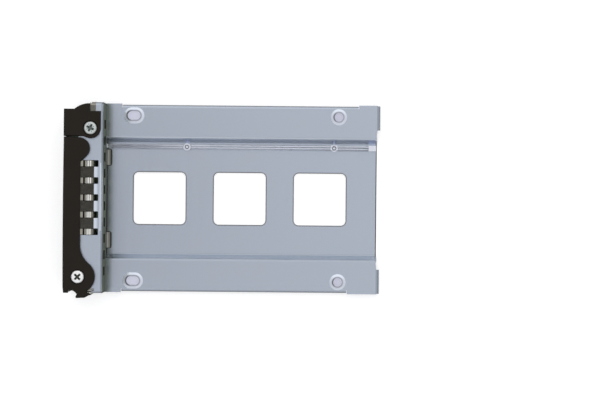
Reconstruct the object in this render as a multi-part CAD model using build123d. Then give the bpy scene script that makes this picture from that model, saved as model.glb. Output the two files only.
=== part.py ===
# Hot swap caddy for a 2.5-inch drive: a folded sheet tray, a vented front frame with
# contact fingers, a black ejector lever with a cam hook, and a sprung release latch.
# Millimetres. +X points to the connector end, +Z up, and the origin lies midway between
# the two rear screw seats, on the plane that the drive rests on.
from build123d import *
from math import acos, atan, atan2, cos, degrees, hypot, radians, sin, sqrt, tan
import os

# Drive and its screw pattern
drive_length = 100.45
drive_front_gap = 0.25
drive_rear_margin = 14.0
screw_front_margin = 9.85
screw_edge_inset = 4.07
screw_hole_d = 3.2
screw_slot_extra = 1.6

# Sheet metal
sheet_t = 0.8
bend_in = 0.3
bend_out = bend_in + sheet_t

# Tray
tray_width = 69.86
corner_overhang = 0.35
ledge_width = 12.18
pan_depth = 2.5
pan_step_run = 1.85
pan_front_inset = 2.1
pan_corner_r = 2.2
pan_bend_in = 0.5
mouth_bend = 1.0
window_size = 19.5
window_r = 1.8
window_rear_inset = 20.9
window_front_inset = 9.6
window_count = 3
seat_rise = 0.5
seat_base_d = 6.1
seat_top_d = 4.3
flange_front_inset = 5.8
flange_rear_gap_latch = 6.6
flange_rear_gap_hinge = 10.7
flange_relief = 0.2
end_flange_reach = 1.55
end_flange_width = 8.88
end_flange_foot_width = 5.53
end_flange_outer_inset = 0.2
rear_slant_inset = 0.4

# Front frame
frame_overhang = 0.12
frame_rise = 12.9
front_depth = 14.3
front_gap = 0.35
comb_count = 5
comb_pitch = 6.25
comb_slot_w = 2.45
comb_slot_rear = 1.5
comb_slot_length = 8.0
comb_slot_r = 0.3
vent_count = 10
vent_pitch = 6.03
vent_w = 3.3
vent_h = 4.8
vent_rise = 6.0
tab_pipe_gap = 0.2
tab_edge_inset = 5.1
tab_w = 5.8
tab_reach = 1.5
tab_bend_in = 0.35
tab_corner_r = 0.7
tab_gap = 0.3
end_wall_slit = 0.2
end_wall_length_latch = 4.65
end_wall_length_hinge = 6.1
foot_reach = 4.9
foot_inset = 0.2
spring_hole_d = 1.0
spring_hole_inset_x = 3.17
spring_hole_inset_y = 1.3

# Rivets of the frame's feet
rivet_d = 1.8
rivet_head_d = 2.8
rivet_head_t = 0.45
rivet_wall_inset = 2.9
rivet_edge_inset = 3.2

# Contact strip and side springs
strip_t = 0.12
strip_width = 27.0
strip_rear_inset = 3.1
strip_hem = 2.0
finger_w = 2.1
finger_root = 8.2
finger_dip_from, finger_dip_to, finger_dip = 7.1, 6.45, 0.4
finger_crest_at, finger_crest_rise = 4.75, 0.72
finger_tip_at, finger_tip_drop = 2.8, 1.0
finger_tip_angle = 60.0
side_spring_w = 2.0
side_spring_tab = 3.9
side_spring_bow = 0.2
side_spring_foot = 2.4
side_spring_inset_latch = 2.65
side_spring_inset_hinge = 3.75

# Light pipe
pipe_inset = 1.6
pipe_w = 2.0
pipe_h = 1.6
pipe_groove_w = 0.35
pipe_groove_d = 0.3
pipe_ramp_angle = 55.0
pipe_ramp_inset = 0.9
pipe_bend_r = 1.8
pipe_lens_rise = 5.5
pipe_lens_gap = 0.4
pipe_block_length = 3.0
pipe_block_w = 1.9
pipe_block_rise = 0.5
pipe_boss_d = 2.6
pipe_boss_rise = 0.15
pipe_pin_d = 1.6
pipe_pin_gap = 0.05
pipe_boss_front_run = 19.8
pipe_boss_rear_x = -1.7

# Lever and latch, shared sizes
cheek_t = 1.4
cheek_gap = 0.3
cheek_edge_r = 0.45
shell_wall_t = 1.4
end_gap = 0.2
end_slope = 0.25

# Lever
lever_pivot_from_wall = 8.65
lever_pivot_inset = 5.93
lever_open_deg = 60.0
hub_r = 6.2
lever_depth = 6.35
neck_r = 9.0
knob_r = 4.0
lever_bow = 0.15
hook_start_deg = -58.0
hook_root = (3.5, -5.7)
hook_heel = (4.95, -6.3)
hook_base = (2.6, -7.65)
hook_toe = (-0.4, -7.8)
hook_lip = (-0.8, -7.4)
mouth_start = (-0.3, -6.4)
mouth_crown = (-1.6, -5.17)
mouth_end = (-3.42, -4.88)
leg_w = 1.7
leg_foot = 5.9
leg_taper_run, leg_taper_rise = 0.25, 2.0
grille_slot_w = 3.4
grille_slot_h = 10.2
grille_slot_r = 1.1
grille_pitch = 4.9
grille_count = 8
grille_y = -5.5
window_hole_d = 2.6
nose_w = 1.0
nose_h = 5.0
nose_rise = 5.9
nose_gap = 0.16

# Latch
latch_pivot_from_wall = 4.43
latch_pivot_from_step = 2.69
latch_low_drop = 2.98
latch_arc_r = 3.75
latch_arc_end_deg = -110.0
latch_arc_run = 1.5
latch_front_inset = 0.1
latch_side_inset = 2.48
latch_shoulder_inset = 0.42
latch_slope_x = 10.33
latch_curve_x = 7.85
latch_curve_drop = 0.57
latch_notch_from_wall = 4.68
latch_notch_inset = 3.26
latch_rib_count = 5
latch_rib_w = 0.7
latch_rib_rise = 0.15
latch_plate_relief = 1.35
latch_plate_inset = 3.73
latch_plate_slope_inset = 0.73

# Pivots: posts, washers, screws and springs
post_d = 5.0
journal_d = 4.0
journal_play = 0.05
post_seat_play = 0.03
axial_play = 0.05
screw_head_d = 4.7
screw_head_h = 1.15
screw_head_edge_r = 0.63
head_recess = 0.6
head_recess_play = 0.4
screw_d = 2.4
screw_length = 5.0
screw_hole_play = 0.05
cross_w = 0.8
cross_length = 3.1
cross_foot_length = 1.3
cross_depth = 0.9
tick_w = 0.2
tick_length = 3.3
tick_depth = 0.25
lever_screw_turns = (45.0, 20.0)
latch_screw_turns = (65.0, 70.0)
washer_t = 0.2
washer_d = 7.0
wire_d = 0.6
coil_play = 0.25
coil_turns = 4
coil_pitch = 0.8
coil_rise = 3.0
lever_spring_leg = 9.0
latch_spring_leg = 7.6
spring_tip_drop = 0.5
spring_stop_gap = 0.1

# How far a cutter runs past a face, and how far two joined solids share space
over = 1.0
share = 0.01

# Heights
ledge_z = -seat_rise
floor_z = ledge_z - pan_depth
base_z = floor_z - sheet_t
frame_top_z = ledge_z + frame_rise
plate_under_z = frame_top_z - sheet_t
tongue_under_z = ledge_z - sheet_t
top_cheek_z = frame_top_z + cheek_gap
low_cheek_z = tongue_under_z - cheek_gap
lever_top_z = top_cheek_z + cheek_t
lever_low_z = low_cheek_z - cheek_t

# Places along X
tray_rear_x = drive_rear_margin
wall_x = tray_rear_x - drive_length - drive_front_gap
wall_front_x = wall_x - sheet_t
shell_front_x = wall_x - front_depth
shell_inner_x = shell_front_x + shell_wall_t
plate_front_x = shell_inner_x + front_gap
pan_front_x = wall_x - pan_front_inset
screw_pitch_x = drive_length - drive_rear_margin - screw_front_margin
window_rear_x = tray_rear_x - window_rear_inset
window_pitch = (window_rear_x + screw_pitch_x - window_front_inset) / (window_count - 1)
pipe_boss_front_x = pipe_boss_front_run - screw_pitch_x
lever_pivot_x = wall_x - lever_pivot_from_wall
latch_pivot_x = wall_x - latch_pivot_from_wall

# Places along Y
tray_half = tray_width / 2
frame_half = tray_half + frame_overhang
screw_y = tray_half - screw_edge_inset
pan_floor_half = tray_half - ledge_width - pan_step_run
pipe_y = pan_floor_half - pipe_inset
rear_slant_y = pan_floor_half + rear_slant_inset
end_flange_inner_y = tray_half - end_flange_width
end_flange_foot_y = tray_half - end_flange_foot_width
lever_pivot_y = lever_pivot_inset - tray_half
latch_pivot_y = tray_half - ledge_width + latch_pivot_from_step
latch_low_y = latch_pivot_y - latch_low_drop
latch_side_y = tray_half - latch_side_inset
latch_shoulder_y = tray_half - latch_shoulder_inset
latch_notch_y = tray_half - latch_notch_inset
lever_end_y = latch_low_y - end_gap
knob_top_y = lever_end_y - end_slope
knob_y = knob_top_y - knob_r
tab_latch_y = pipe_y - pipe_w / 2 - tab_pipe_gap - tab_w / 2
tab_ys = [tab_latch_y, tab_edge_inset - pan_floor_half]
comb_ys = [(i - (comb_count - 1) / 2) * comb_pitch for i in range(comb_count)]
ends = {"latch": 1, "hinge": -1}
end_wall_length = {"latch": end_wall_length_latch, "hinge": end_wall_length_hinge}
rivet_x = wall_x - rivet_wall_inset
rivet_y = frame_half - rivet_edge_inset
lever_pivot = (lever_pivot_x, lever_pivot_y)
latch_pivot = (latch_pivot_x, latch_pivot_y)

LOW = (Align.MIN, Align.MIN, Align.MIN)


def block(x, y, z):
    """A box between two limits on each axis, given as pairs."""
    corner = Pos(min(x), min(y), min(z))
    return corner * Box(abs(x[1] - x[0]), abs(y[1] - y[0]), abs(z[1] - z[0]), align=LOW)


def outline(points):
    """A flat face bounded by straight lines."""
    return make_face(Polyline(*points, close=True))


def rod(place, r, z_low, z_high):
    """An upright cylinder at a place in plan."""
    base = Pos(place[0], place[1], z_low)
    return base * Cylinder(r, z_high - z_low, align=(Align.CENTER, Align.CENTER, Align.MIN))


def slot_prism(face, z_low, z_high):
    """A plan face raised between two heights."""
    return Pos(0, 0, z_low) * extrude(face, z_high - z_low)


def edges_near(shape, axis, value):
    """Edges that lie wholly at one coordinate."""
    return shape.edges().filter_by_position(axis, value - 0.001, value + 0.001)


def front_plan(half):
    """Plan of the plates in the front box: round about the lever's pivot, so that the open
    lever's wall clears the corner, and set back behind the latch."""
    nose_r = lever_pivot_x - plate_front_x
    turn = radians(180 + lever_open_deg)
    leave = (lever_pivot_x + nose_r * cos(turn), lever_pivot_y + nose_r * sin(turn))
    run = (leave[1] + half) / cos(turn)
    corner = (leave[0] + run * sin(turn), -half)
    step_y = latch_low_y - end_gap / 2
    set_back_x = plate_front_x + latch_plate_relief
    end_x = wall_x - end_wall_length_latch
    lines = Polyline(
        (plate_front_x, lever_pivot_y),
        (plate_front_x, step_y),
        (set_back_x, step_y),
        (set_back_x, tray_half - latch_plate_inset),
        (end_x - sheet_t / 2, tray_half - latch_plate_slope_inset),
        (end_x, half),
        (wall_x, half),
        (wall_x, -half),
        corner,
        leave,
    )
    lines += CenterArc(lever_pivot, nose_r, 180, lever_open_deg)
    return make_face(lines)


def pan_prism(floor_half, front_x, z, depth, corner_r):
    """The pressed channel as a solid that widens upwards, open past the tray's rear end."""
    past = 3 * pan_floor_half
    length = tray_rear_x + past - front_x
    plan = RectangleRounded(length, 2 * floor_half, corner_r)
    slope = -degrees(atan(pan_step_run / pan_depth))
    return extrude(Pos(front_x + length / 2, 0, z) * plan, depth, taper=slope)


def seat_plan(diameter, stretch):
    """A circle, or a slot along X when it is stretched."""
    if stretch > 0:
        return SlotCenterToCenter(stretch, diameter)
    return Circle(diameter / 2)


def seat(stretch):
    """Raised seat for a flat-head screw: the part to add and the part to take away."""
    lean = degrees(atan((seat_base_d - seat_top_d) / 2 / seat_rise))
    hill = extrude(Pos(0, 0, ledge_z) * seat_plan(seat_base_d, stretch), seat_rise, taper=lean)
    under_d = seat_base_d - sheet_t / 2
    dish = extrude(Pos(0, 0, tongue_under_z) * seat_plan(under_d, stretch), seat_rise, taper=lean)
    hole = slot_prism(seat_plan(screw_hole_d, stretch), base_z, seat_rise)
    return hill, dish + hole


def down_fold(edge):
    """Section of the ledge's sheet folded down, its outer face at the given distance."""
    start = edge - bend_out
    fold = ledge_z - bend_out
    inner = edge - sheet_t
    lines = CenterArc((start, fold), bend_out, 0, 90) + CenterArc((start, fold), bend_in, 0, 90)
    lines += Polyline((edge, fold), (edge, base_z), (inner, base_z), (inner, fold))
    lines += Line((start, tongue_under_z), (start, ledge_z))
    return make_face(lines)


def side_flange(side, rear_x):
    """Flange along one side, folded down from the ledge to the level of the pan's underside."""
    front_x = wall_x + flange_front_inset
    section = Plane(origin=(front_x, 0, 0), x_dir=(0, 1, 0), z_dir=(1, 0, 0)) * down_fold(tray_half)
    flange = extrude(section, rear_x - front_x)
    return flange if side > 0 else mirror(flange, Plane.XZ)


def end_flange(side):
    """Flange at the connector end of one ledge, its lower inner corner cut at a slant."""
    outer_x = tray_rear_x + end_flange_reach
    outer_y = tray_half + corner_overhang - end_flange_outer_inset
    fold = ledge_z - bend_out
    section = Plane(origin=(0, outer_y, 0), x_dir=(1, 0, 0), z_dir=(0, -1, 0)) * down_fold(outer_x)
    flange = extrude(section, outer_y - end_flange_inner_y)
    slant = outline([
        (end_flange_inner_y, fold),
        (end_flange_foot_y, base_z),
        (end_flange_inner_y - sheet_t, base_z),
        (end_flange_inner_y - sheet_t, fold),
    ])
    behind_x = outer_x - 2 * bend_out
    wedge = Plane(origin=(behind_x, 0, 0), x_dir=(0, 1, 0), z_dir=(1, 0, 0)) * slant
    flange -= extrude(wedge, 3 * bend_out)
    return flange if side > 0 else mirror(flange, Plane.XZ)


def make_tray():
    wide = tray_half + corner_overhang
    rear = tray_rear_x + end_flange_reach - bend_out
    plan = outline([
        (wall_x, -wide),
        (rear, -wide),
        (rear, -end_flange_inner_y),
        (tray_rear_x, -rear_slant_y),
        (tray_rear_x, rear_slant_y),
        (rear, end_flange_inner_y),
        (rear, wide),
        (wall_x, wide),
    ])
    plan += front_plan(wide)
    sheet = slot_prism(plan, tongue_under_z, ledge_z)

    # The channel's outside is its inside moved out by the sheet's thickness
    slope_length = hypot(pan_depth, pan_step_run)
    grow = sheet_t * (slope_length - pan_step_run) / pan_depth
    outside = pan_prism(pan_floor_half + grow, pan_front_x - grow, base_z, pan_depth, pan_corner_r + grow)
    inside = pan_prism(pan_floor_half, pan_front_x, floor_z, pan_depth, pan_corner_r)
    floor_edges = edges_near(inside, Axis.Z, floor_z)
    inside = fillet(floor_edges, pan_bend_in)
    under_edges = edges_near(outside, Axis.Z, base_z)
    outside = fillet(under_edges, pan_bend_in + sheet_t)
    sheet = sheet + outside - inside
    all_z = (base_z - over, over)
    sheet &= block((plate_front_x - over, rear), (-wide - over, wide + over), all_z)
    sheet -= block((tray_rear_x, rear + over), (-rear_slant_y, rear_slant_y), all_z)
    mouth = [
        edge
        for edge in edges_near(sheet, Axis.Z, ledge_z)
        if abs(edge.center().Y) < pan_floor_half + 2 * pan_step_run
        and pan_front_x - 2 * pan_step_run < edge.center().X < tray_rear_x - over
    ]
    sheet = fillet(mouth, mouth_bend)

    rear_x = {
        "latch": tray_rear_x - flange_rear_gap_latch,
        "hinge": tray_rear_x - flange_rear_gap_hinge,
    }
    for name, side in ends.items():
        strip_x = (wall_x + flange_front_inset - flange_relief, rear_x[name] + flange_relief)
        strip_y = (side * (tray_half - bend_out), side * (wide + over))
        sheet -= block(strip_x, strip_y, all_z)
        sheet += side_flange(side, rear_x[name])
        sheet += end_flange(side)

    for x, stretch in ((0, 0), (-screw_pitch_x, screw_slot_extra)):
        for side in ends.values():
            hill, dish = seat(stretch)
            place = Pos(x, side * screw_y, 0)
            sheet = sheet + place * hill - place * dish

    for i in range(window_count):
        centre_x = window_rear_x - i * window_pitch
        window = RectangleRounded(window_size, window_size, window_r)
        sheet -= slot_prism(Pos(centre_x, 0) * window, base_z - over, ledge_z)

    slot_front = wall_front_x - tab_gap
    slot_rear = wall_x + tab_reach + tab_gap
    slot_plan = RectangleRounded(slot_rear - slot_front, tab_w + 2 * tab_gap, tab_corner_r + tab_gap)
    for y in tab_ys:
        sheet -= slot_prism(Pos((slot_front + slot_rear) / 2, y) * slot_plan, base_z - over, ledge_z)

    for x in (pipe_boss_front_x, pipe_boss_rear_x):
        sheet -= rod((x, pipe_y), pipe_pin_d / 2 + pipe_pin_gap, base_z - over, ledge_z)
    for place in (lever_pivot, latch_pivot):
        sheet -= rod(place, journal_d / 2 + post_seat_play, base_z, over)
    for side in ends.values():
        place = (rivet_x, side * rivet_y)
        sheet -= rod(place, rivet_d / 2, base_z, over)
        sheet -= Pos(*place, tongue_under_z) * rivet_sink()
    return sheet


def rivet_sink():
    """Countersink of the flush rivet, opening downwards."""
    return Cone(rivet_head_d / 2, rivet_d / 2, rivet_head_t, align=(Align.CENTER, Align.CENTER, Align.MIN))


def folded_envelope():
    """Space inside the frame's three outer folds."""
    x = (plate_front_x - over, wall_x)
    space = block(x, (-frame_half, frame_half), (base_z, frame_top_z))
    folds = [e for e in edges_near(space, Axis.Z, frame_top_z) if e.center().X > plate_front_x]
    return fillet(folds, bend_out)


def make_front_frame():
    top = slot_prism(front_plan(frame_half), plate_under_z, frame_top_z)
    frame = top + block((wall_front_x, wall_x), (-frame_half, frame_half), (ledge_z, frame_top_z))
    for name, side in ends.items():
        wall_y = (side * (frame_half - sheet_t), side * frame_half)
        front = wall_x - end_wall_length[name]
        frame += block((front, wall_front_x - end_wall_slit), wall_y, (ledge_z, frame_top_z))
        foot_y = (side * (frame_half - foot_reach), side * frame_half)
        foot_x = (front + foot_inset, wall_front_x - 2 * end_wall_slit)
        frame += block(foot_x, foot_y, (ledge_z, ledge_z + sheet_t))
    inner_fold = [
        e for e in edges_near(frame, Axis.X, wall_front_x) if abs(e.center().Z - plate_under_z) < 0.01
    ]
    frame = fillet(inner_fold, bend_in)
    frame &= folded_envelope()

    slot_x = wall_x - comb_slot_rear - comb_slot_length / 2
    for y in comb_ys:
        slot = RectangleRounded(comb_slot_length, comb_slot_w, comb_slot_r)
        frame -= slot_prism(Pos(slot_x, y) * slot, plate_under_z - over, frame_top_z + over)
    for i in range(vent_count):
        y = (i - (vent_count - 1) / 2) * vent_pitch
        z = ledge_z + vent_rise
        vent = Plane(origin=(wall_front_x - over, y, z), x_dir=(0, 1, 0), z_dir=(1, 0, 0))
        frame -= extrude(vent * RectangleRounded(vent_w, vent_h, comb_slot_r), sheet_t + 2 * over)
    for y in tab_ys:
        frame += locating_tab(y)

    for place in (lever_pivot, latch_pivot):
        frame -= rod(place, journal_d / 2 + post_seat_play, plate_under_z - over, frame_top_z + over)
    hole = (wall_x - spring_hole_inset_x, -(frame_half - spring_hole_inset_y))
    frame -= rod(hole, spring_hole_d / 2, plate_under_z - over, frame_top_z + over)
    for side in ends.values():
        frame -= rod((rivet_x, side * rivet_y), rivet_d / 2, ledge_z - over, ledge_z + 2 * over)
    return frame


def locating_tab(y):
    """Tab that leaves the rear wall's lower edge and bends into its slot in the tray."""
    knee = floor_z + tab_bend_in
    toe = wall_x + tab_bend_in
    tip = wall_x + tab_reach
    lines = Polyline((wall_front_x, knee), (wall_front_x, ledge_z), (wall_x, ledge_z), (wall_x, knee))
    lines += CenterArc((toe, knee), tab_bend_in, 180, 90)
    lines += CenterArc((toe, knee), tab_bend_in + sheet_t, 180, 90)
    lines += Polyline((toe, base_z), (tip, base_z), (tip, floor_z), (toe, floor_z))
    section = Plane(origin=(0, y + tab_w / 2, 0), x_dir=(1, 0, 0), z_dir=(0, -1, 0)) * make_face(lines)
    tab = extrude(section, tab_w)
    corners = edges_near(tab, Axis.X, tip).filter_by(Axis.Z)
    return fillet(corners, tab_corner_r)


def make_contact_strip():
    front = plate_front_x - strip_t
    rear = wall_x - strip_rear_inset
    half = strip_width / 2
    root = wall_x - finger_root
    top = frame_top_z + strip_t
    strip = block((front, rear), (-half, half), (frame_top_z, top))
    strip += block((front, plate_front_x), (-half, half), (plate_under_z - strip_t, top))
    strip += block((front, plate_front_x + strip_hem), (-half, half), (plate_under_z - strip_t, plate_under_z))
    for y in comb_ys:
        gap_y = (y - comb_slot_w / 2, y + comb_slot_w / 2)
        strip -= block((root, rear + over), gap_y, (frame_top_z, top + over))
    profile = make_face(finger_section(root, top))
    for y in comb_ys:
        place = Plane(origin=(0, y + finger_w / 2, 0), x_dir=(1, 0, 0), z_dir=(0, -1, 0))
        strip += extrude(place * profile, finger_w)
    return strip


def finger_section(root, top):
    """Side view of one finger: down into its slot, up to the crest and steeply down again."""
    knots = [
        (root, top),
        (wall_x - finger_dip_from, top - finger_dip),
        (wall_x - finger_dip_to, top - finger_dip),
        (wall_x - finger_crest_at, top + finger_crest_rise),
        (wall_x - finger_tip_at, top - finger_tip_drop),
    ]
    level = (1, 0)
    plunge = (cos(radians(finger_tip_angle)), -sin(radians(finger_tip_angle)))
    lines = Line(knots[0], (root, top - strip_t))
    lines += Line(knots[-1], (knots[-1][0], knots[-1][1] - strip_t))
    for drop in (0, strip_t):
        start, dip_start, dip_end, crest, tip = [(x, z - drop) for x, z in knots]
        lines += Spline(start, dip_start, tangents=[level, level])
        lines += Line(dip_start, dip_end)
        lines += Spline(dip_end, crest, tangents=[level, level])
        lines += Spline(crest, tip, tangents=[level, plunge])
    return lines


def make_side_spring(side, inset):
    """Contact clip on one end wall: a tab on the top plate, and a leg that bows outwards."""
    half = frame_half + strip_t / 2
    corner = bend_out + strip_t / 2
    top = frame_top_z + strip_t / 2
    shoulder = (frame_half - bend_out, top)
    slant = corner * sin(radians(45))
    turn = (shoulder[0] + slant, top - corner + slant)
    side_top = (half, top - corner)
    belly = (half + side_spring_bow, (top - corner + ledge_z + side_spring_foot) / 2)
    foot = (half, ledge_z + side_spring_foot)
    path = Line((frame_half - side_spring_tab, top), shoulder)
    path += ThreePointArc(shoulder, turn, side_top)
    path += ThreePointArc(side_top, belly, foot)
    band = trace(path, strip_t)
    rear_x = wall_x - inset
    section = Plane(origin=(rear_x - side_spring_w, 0, 0), x_dir=(0, 1, 0), z_dir=(1, 0, 0)) * band
    spring = extrude(section, side_spring_w)
    return spring if side > 0 else mirror(spring, Plane.XZ)


def make_light_pipe():
    """Clear pipe on the pan's floor that dips under the rear wall and climbs to the front."""
    run_z = floor_z + pipe_h / 2
    lens_z = ledge_z + pipe_lens_rise
    ramp_x = wall_x - pipe_ramp_inset
    climb = (lens_z - run_z) / tan(radians(pipe_ramp_angle))
    lens_x = shell_inner_x + pipe_lens_gap
    path = FilletPolyline(
        (tray_rear_x, run_z),
        (ramp_x, run_z),
        (ramp_x - climb, lens_z),
        (lens_x, lens_z),
        radius=pipe_bend_r,
    )
    band = trace(path, pipe_h)
    side = Plane(origin=(0, pipe_y + pipe_w / 2, 0), x_dir=(1, 0, 0), z_dir=(0, -1, 0))
    pipe = extrude(side * band, pipe_w)
    top_z = floor_z + pipe_h
    block_x = (tray_rear_x - pipe_block_length, tray_rear_x)
    block_y = (pipe_y - pipe_block_w / 2, pipe_y + pipe_block_w / 2)
    groove_y = (pipe_y - pipe_groove_w / 2, pipe_y + pipe_groove_w / 2)
    pipe -= block((ramp_x + pipe_bend_r, tray_rear_x), groove_y, (top_z - pipe_groove_d, top_z + over))
    pipe += block(block_x, block_y, (floor_z, top_z + pipe_block_rise))
    for x in (pipe_boss_front_x, pipe_boss_rear_x):
        pipe += rod((x, pipe_y), pipe_boss_d / 2, floor_z, top_z + pipe_boss_rise)
        pipe += rod((x, pipe_y), pipe_pin_d / 2, base_z + pipe_pin_gap, floor_z)
    return pipe


def lever_outline():
    """Plan of the lever's cheeks: knob at the free end, straight bar, neck, hub and cam hook."""
    px, py = lever_pivot
    bar_x = shell_front_x + lever_depth
    knob_low = (px + knob_r * cos(radians(45)), knob_y - knob_r * sin(radians(45)))
    bar_top = (bar_x, knob_low[1] - (knob_low[0] - bar_x))
    reach = bar_x + neck_r - px
    lean = degrees(acos(reach / (hub_r + neck_r)))
    neck_y = py + (hub_r + neck_r) * sin(radians(lean))
    leave = radians(hook_start_deg)
    hub_out = (px + hub_r * cos(leave), py + hub_r * sin(leave))
    hook = [
        (px + x, py + y)
        for x, y in (hook_root, hook_heel, hook_base, hook_toe, hook_lip, mouth_start)
    ]
    crown = (px + mouth_crown[0], py + mouth_crown[1])
    mouth_out = (px + mouth_end[0], py + mouth_end[1])
    leg_y = py - leg_foot
    lines = CenterArc((px, knob_y), knob_r, -45, 135)
    lines += Polyline(knob_low, bar_top, (bar_x, neck_y))
    lines += CenterArc((bar_x + neck_r, neck_y), neck_r, 180, lean)
    lines += CenterArc(lever_pivot, hub_r, hook_start_deg, lean - hook_start_deg)
    lines += Polyline(hub_out, *hook)
    lines += ThreePointArc(hook[-1], crown, mouth_out)
    end_x = shell_front_x + lever_bow
    low_end = (end_x, leg_y + leg_taper_rise)
    high_end = (end_x, lever_end_y)
    foot_x = end_x + leg_taper_run
    lines += Polyline(mouth_out, (foot_x + leg_w, leg_y), (foot_x, leg_y), low_end)
    lines += ThreePointArc(low_end, (shell_front_x, (low_end[1] + lever_end_y) / 2), high_end)
    lines += Line(high_end, (px, knob_top_y))
    return make_face(lines)


def shell(plan, front_x, pivot):
    """A moulding with an upper and a lower cheek on one front wall, turning on a post."""
    body = slot_prism(plan, top_cheek_z, lever_top_z)
    body += slot_prism(plan, lever_low_z, low_cheek_z)
    span = plan.bounding_box()
    wall_plan = plan & block((front_x, shell_inner_x), (span.min.Y, span.max.Y), (-over, over))
    body += slot_prism(wall_plan.faces()[0], low_cheek_z, top_cheek_z)
    rims = edges_near(body, Axis.Z, lever_top_z) + edges_near(body, Axis.Z, lever_low_z)
    body = fillet(rims, cheek_edge_r)
    body -= rod(pivot, journal_d / 2 + journal_play, lever_low_z - over, lever_top_z + over)
    recess_r = screw_head_d / 2 + head_recess_play
    body -= rod(pivot, recess_r, lever_top_z - head_recess, lever_top_z + over)
    body -= rod(pivot, recess_r, lever_low_z - over, lever_low_z + head_recess)
    return body


def make_lever():
    lever = shell(lever_outline(), shell_front_x, lever_pivot)
    middle_z = (frame_top_z + tongue_under_z) / 2
    for i in range(grille_count):
        y = grille_y + (i - (grille_count - 1) / 2) * grille_pitch
        place = Plane(origin=(shell_front_x - over, y, middle_z), x_dir=(0, 1, 0), z_dir=(1, 0, 0))
        slot = RectangleRounded(grille_slot_w, grille_slot_h, grille_slot_r)
        lever -= extrude(place * slot, shell_wall_t + 2 * over)
    lens = Plane(origin=(shell_front_x - over, pipe_y, ledge_z + pipe_lens_rise), z_dir=(1, 0, 0))
    lever -= extrude(lens * Circle(window_hole_d / 2), shell_wall_t + 2 * over)
    nose_low = ledge_z + nose_rise - nose_h / 2
    nose_y = (pipe_y + pipe_w / 2 + nose_gap + end_gap, latch_low_y - nose_gap)
    nose_x = (shell_inner_x - share, shell_inner_x + nose_w)
    lever += block(nose_x, nose_y, (nose_low, nose_low + nose_h))
    return lever


def latch_outline():
    """Plan of the latch's cheeks: thumb end at the front, side shoulder, notch and round eye."""
    px, py = latch_pivot
    front = shell_front_x + latch_front_inset
    notch_x = wall_x - latch_notch_from_wall
    slope_x = wall_x - latch_slope_x
    rear_x = px + latch_arc_r
    eye_end = radians(latch_arc_end_deg)
    eye_low = (px + latch_arc_r * cos(eye_end), py + latch_arc_r * sin(eye_end))
    shoulder = (notch_x, latch_shoulder_y)
    curve_mid = (wall_x - latch_curve_x, latch_shoulder_y - latch_curve_drop)
    lines = Polyline(
        (rear_x, py),
        (rear_x, latch_notch_y),
        (notch_x, latch_notch_y),
        shoulder,
    )
    lines += ThreePointArc(shoulder, curve_mid, (slope_x, latch_side_y))
    lines += Polyline(
        (slope_x, latch_side_y),
        (front, latch_side_y),
        (front, latch_low_y),
        (eye_low[0] - latch_arc_run, latch_low_y),
        eye_low,
    )
    lines += CenterArc(latch_pivot, latch_arc_r, latch_arc_end_deg, -latch_arc_end_deg)
    return make_face(lines)


def make_latch():
    front = shell_front_x + latch_front_inset
    latch = shell(latch_outline(), front, latch_pivot)
    span = latch_side_y - latch_low_y
    for i in range(latch_rib_count):
        y = latch_low_y + span * (i + 1) / (latch_rib_count + 1)
        rib_y = (y - latch_rib_w / 2, y + latch_rib_w / 2)
        latch += block((front - latch_rib_rise, front + share), rib_y, (low_cheek_z, top_cheek_z))
    return latch


def make_post(pivot):
    """Shouldered post between the plates, with a journal and a tapped hole at each end."""
    high = lever_top_z - head_recess + axial_play
    low = lever_low_z + head_recess - axial_play
    post = rod(pivot, post_d / 2, ledge_z, plate_under_z) + rod(pivot, journal_d / 2, low, high)
    hole_r = screw_d / 2 + screw_hole_play
    depth = screw_length + 2 * screw_hole_play
    post -= rod(pivot, hole_r, high - depth, high + over)
    post -= rod(pivot, hole_r, low - over, low + depth)
    return post


def cross_recess(turn, ticks):
    """Tapered cross in a screw's head, with short ticks between its arms where the head has them."""
    base = Align.CENTER, Align.CENTER, Align.MAX
    cone = Cone(cross_foot_length / 2, cross_length / 2, cross_depth, align=base)
    bars = Box(cross_length, cross_w, cross_depth, align=base)
    bars += Rot(0, 0, 90) * Box(cross_length, cross_w, cross_depth, align=base)
    cross = cone & bars
    if ticks:
        for angle in (45, 135):
            cross += Rot(0, 0, angle) * Box(tick_length, tick_w, tick_depth, align=base)
    return Rot(0, 0, turn) * cross


def make_screw(pivot, upwards, turn, ticks):
    """Pan-head screw with a cross recess, seated on the end of a post."""
    head = Cylinder(screw_head_d / 2, screw_head_h, align=(Align.CENTER, Align.CENTER, Align.MIN))
    head = fillet(edges_near(head, Axis.Z, screw_head_h), screw_head_edge_r)
    head -= Pos(0, 0, screw_head_h) * cross_recess(turn, ticks)
    shank = Pos(0, 0, -screw_length) * Cylinder(
        screw_d / 2, screw_length, align=(Align.CENTER, Align.CENTER, Align.MIN)
    )
    screw = head + shank
    if upwards:
        return Pos(*pivot, lever_top_z - head_recess + axial_play) * screw
    return Pos(*pivot, lever_low_z + head_recess - axial_play) * Rot(180, 0, 0) * screw


def make_washers(pivot):
    ring = Circle(washer_d / 2) - Circle(journal_d / 2 + journal_play)
    spot = Pos(*pivot)
    upper = slot_prism(spot * ring, frame_top_z, frame_top_z + washer_t)
    lower = slot_prism(spot * ring, tongue_under_z - washer_t, tongue_under_z)
    return Compound([upper, lower])


def coil(pivot, start_deg, turns):
    """Path of a coil round a post, climbing anticlockwise."""
    coil_r = post_d / 2 + coil_play + wire_d / 2
    height = turns * coil_pitch
    return Pos(*pivot, ledge_z + coil_rise) * Rot(0, 0, start_deg) * Helix(coil_pitch, height, coil_r)


def wire(path):
    """Round wire along a path."""
    section = Plane(origin=path @ 0, z_dir=path % 0) * Circle(wire_d / 2)
    return sweep(section, path=path)


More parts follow.
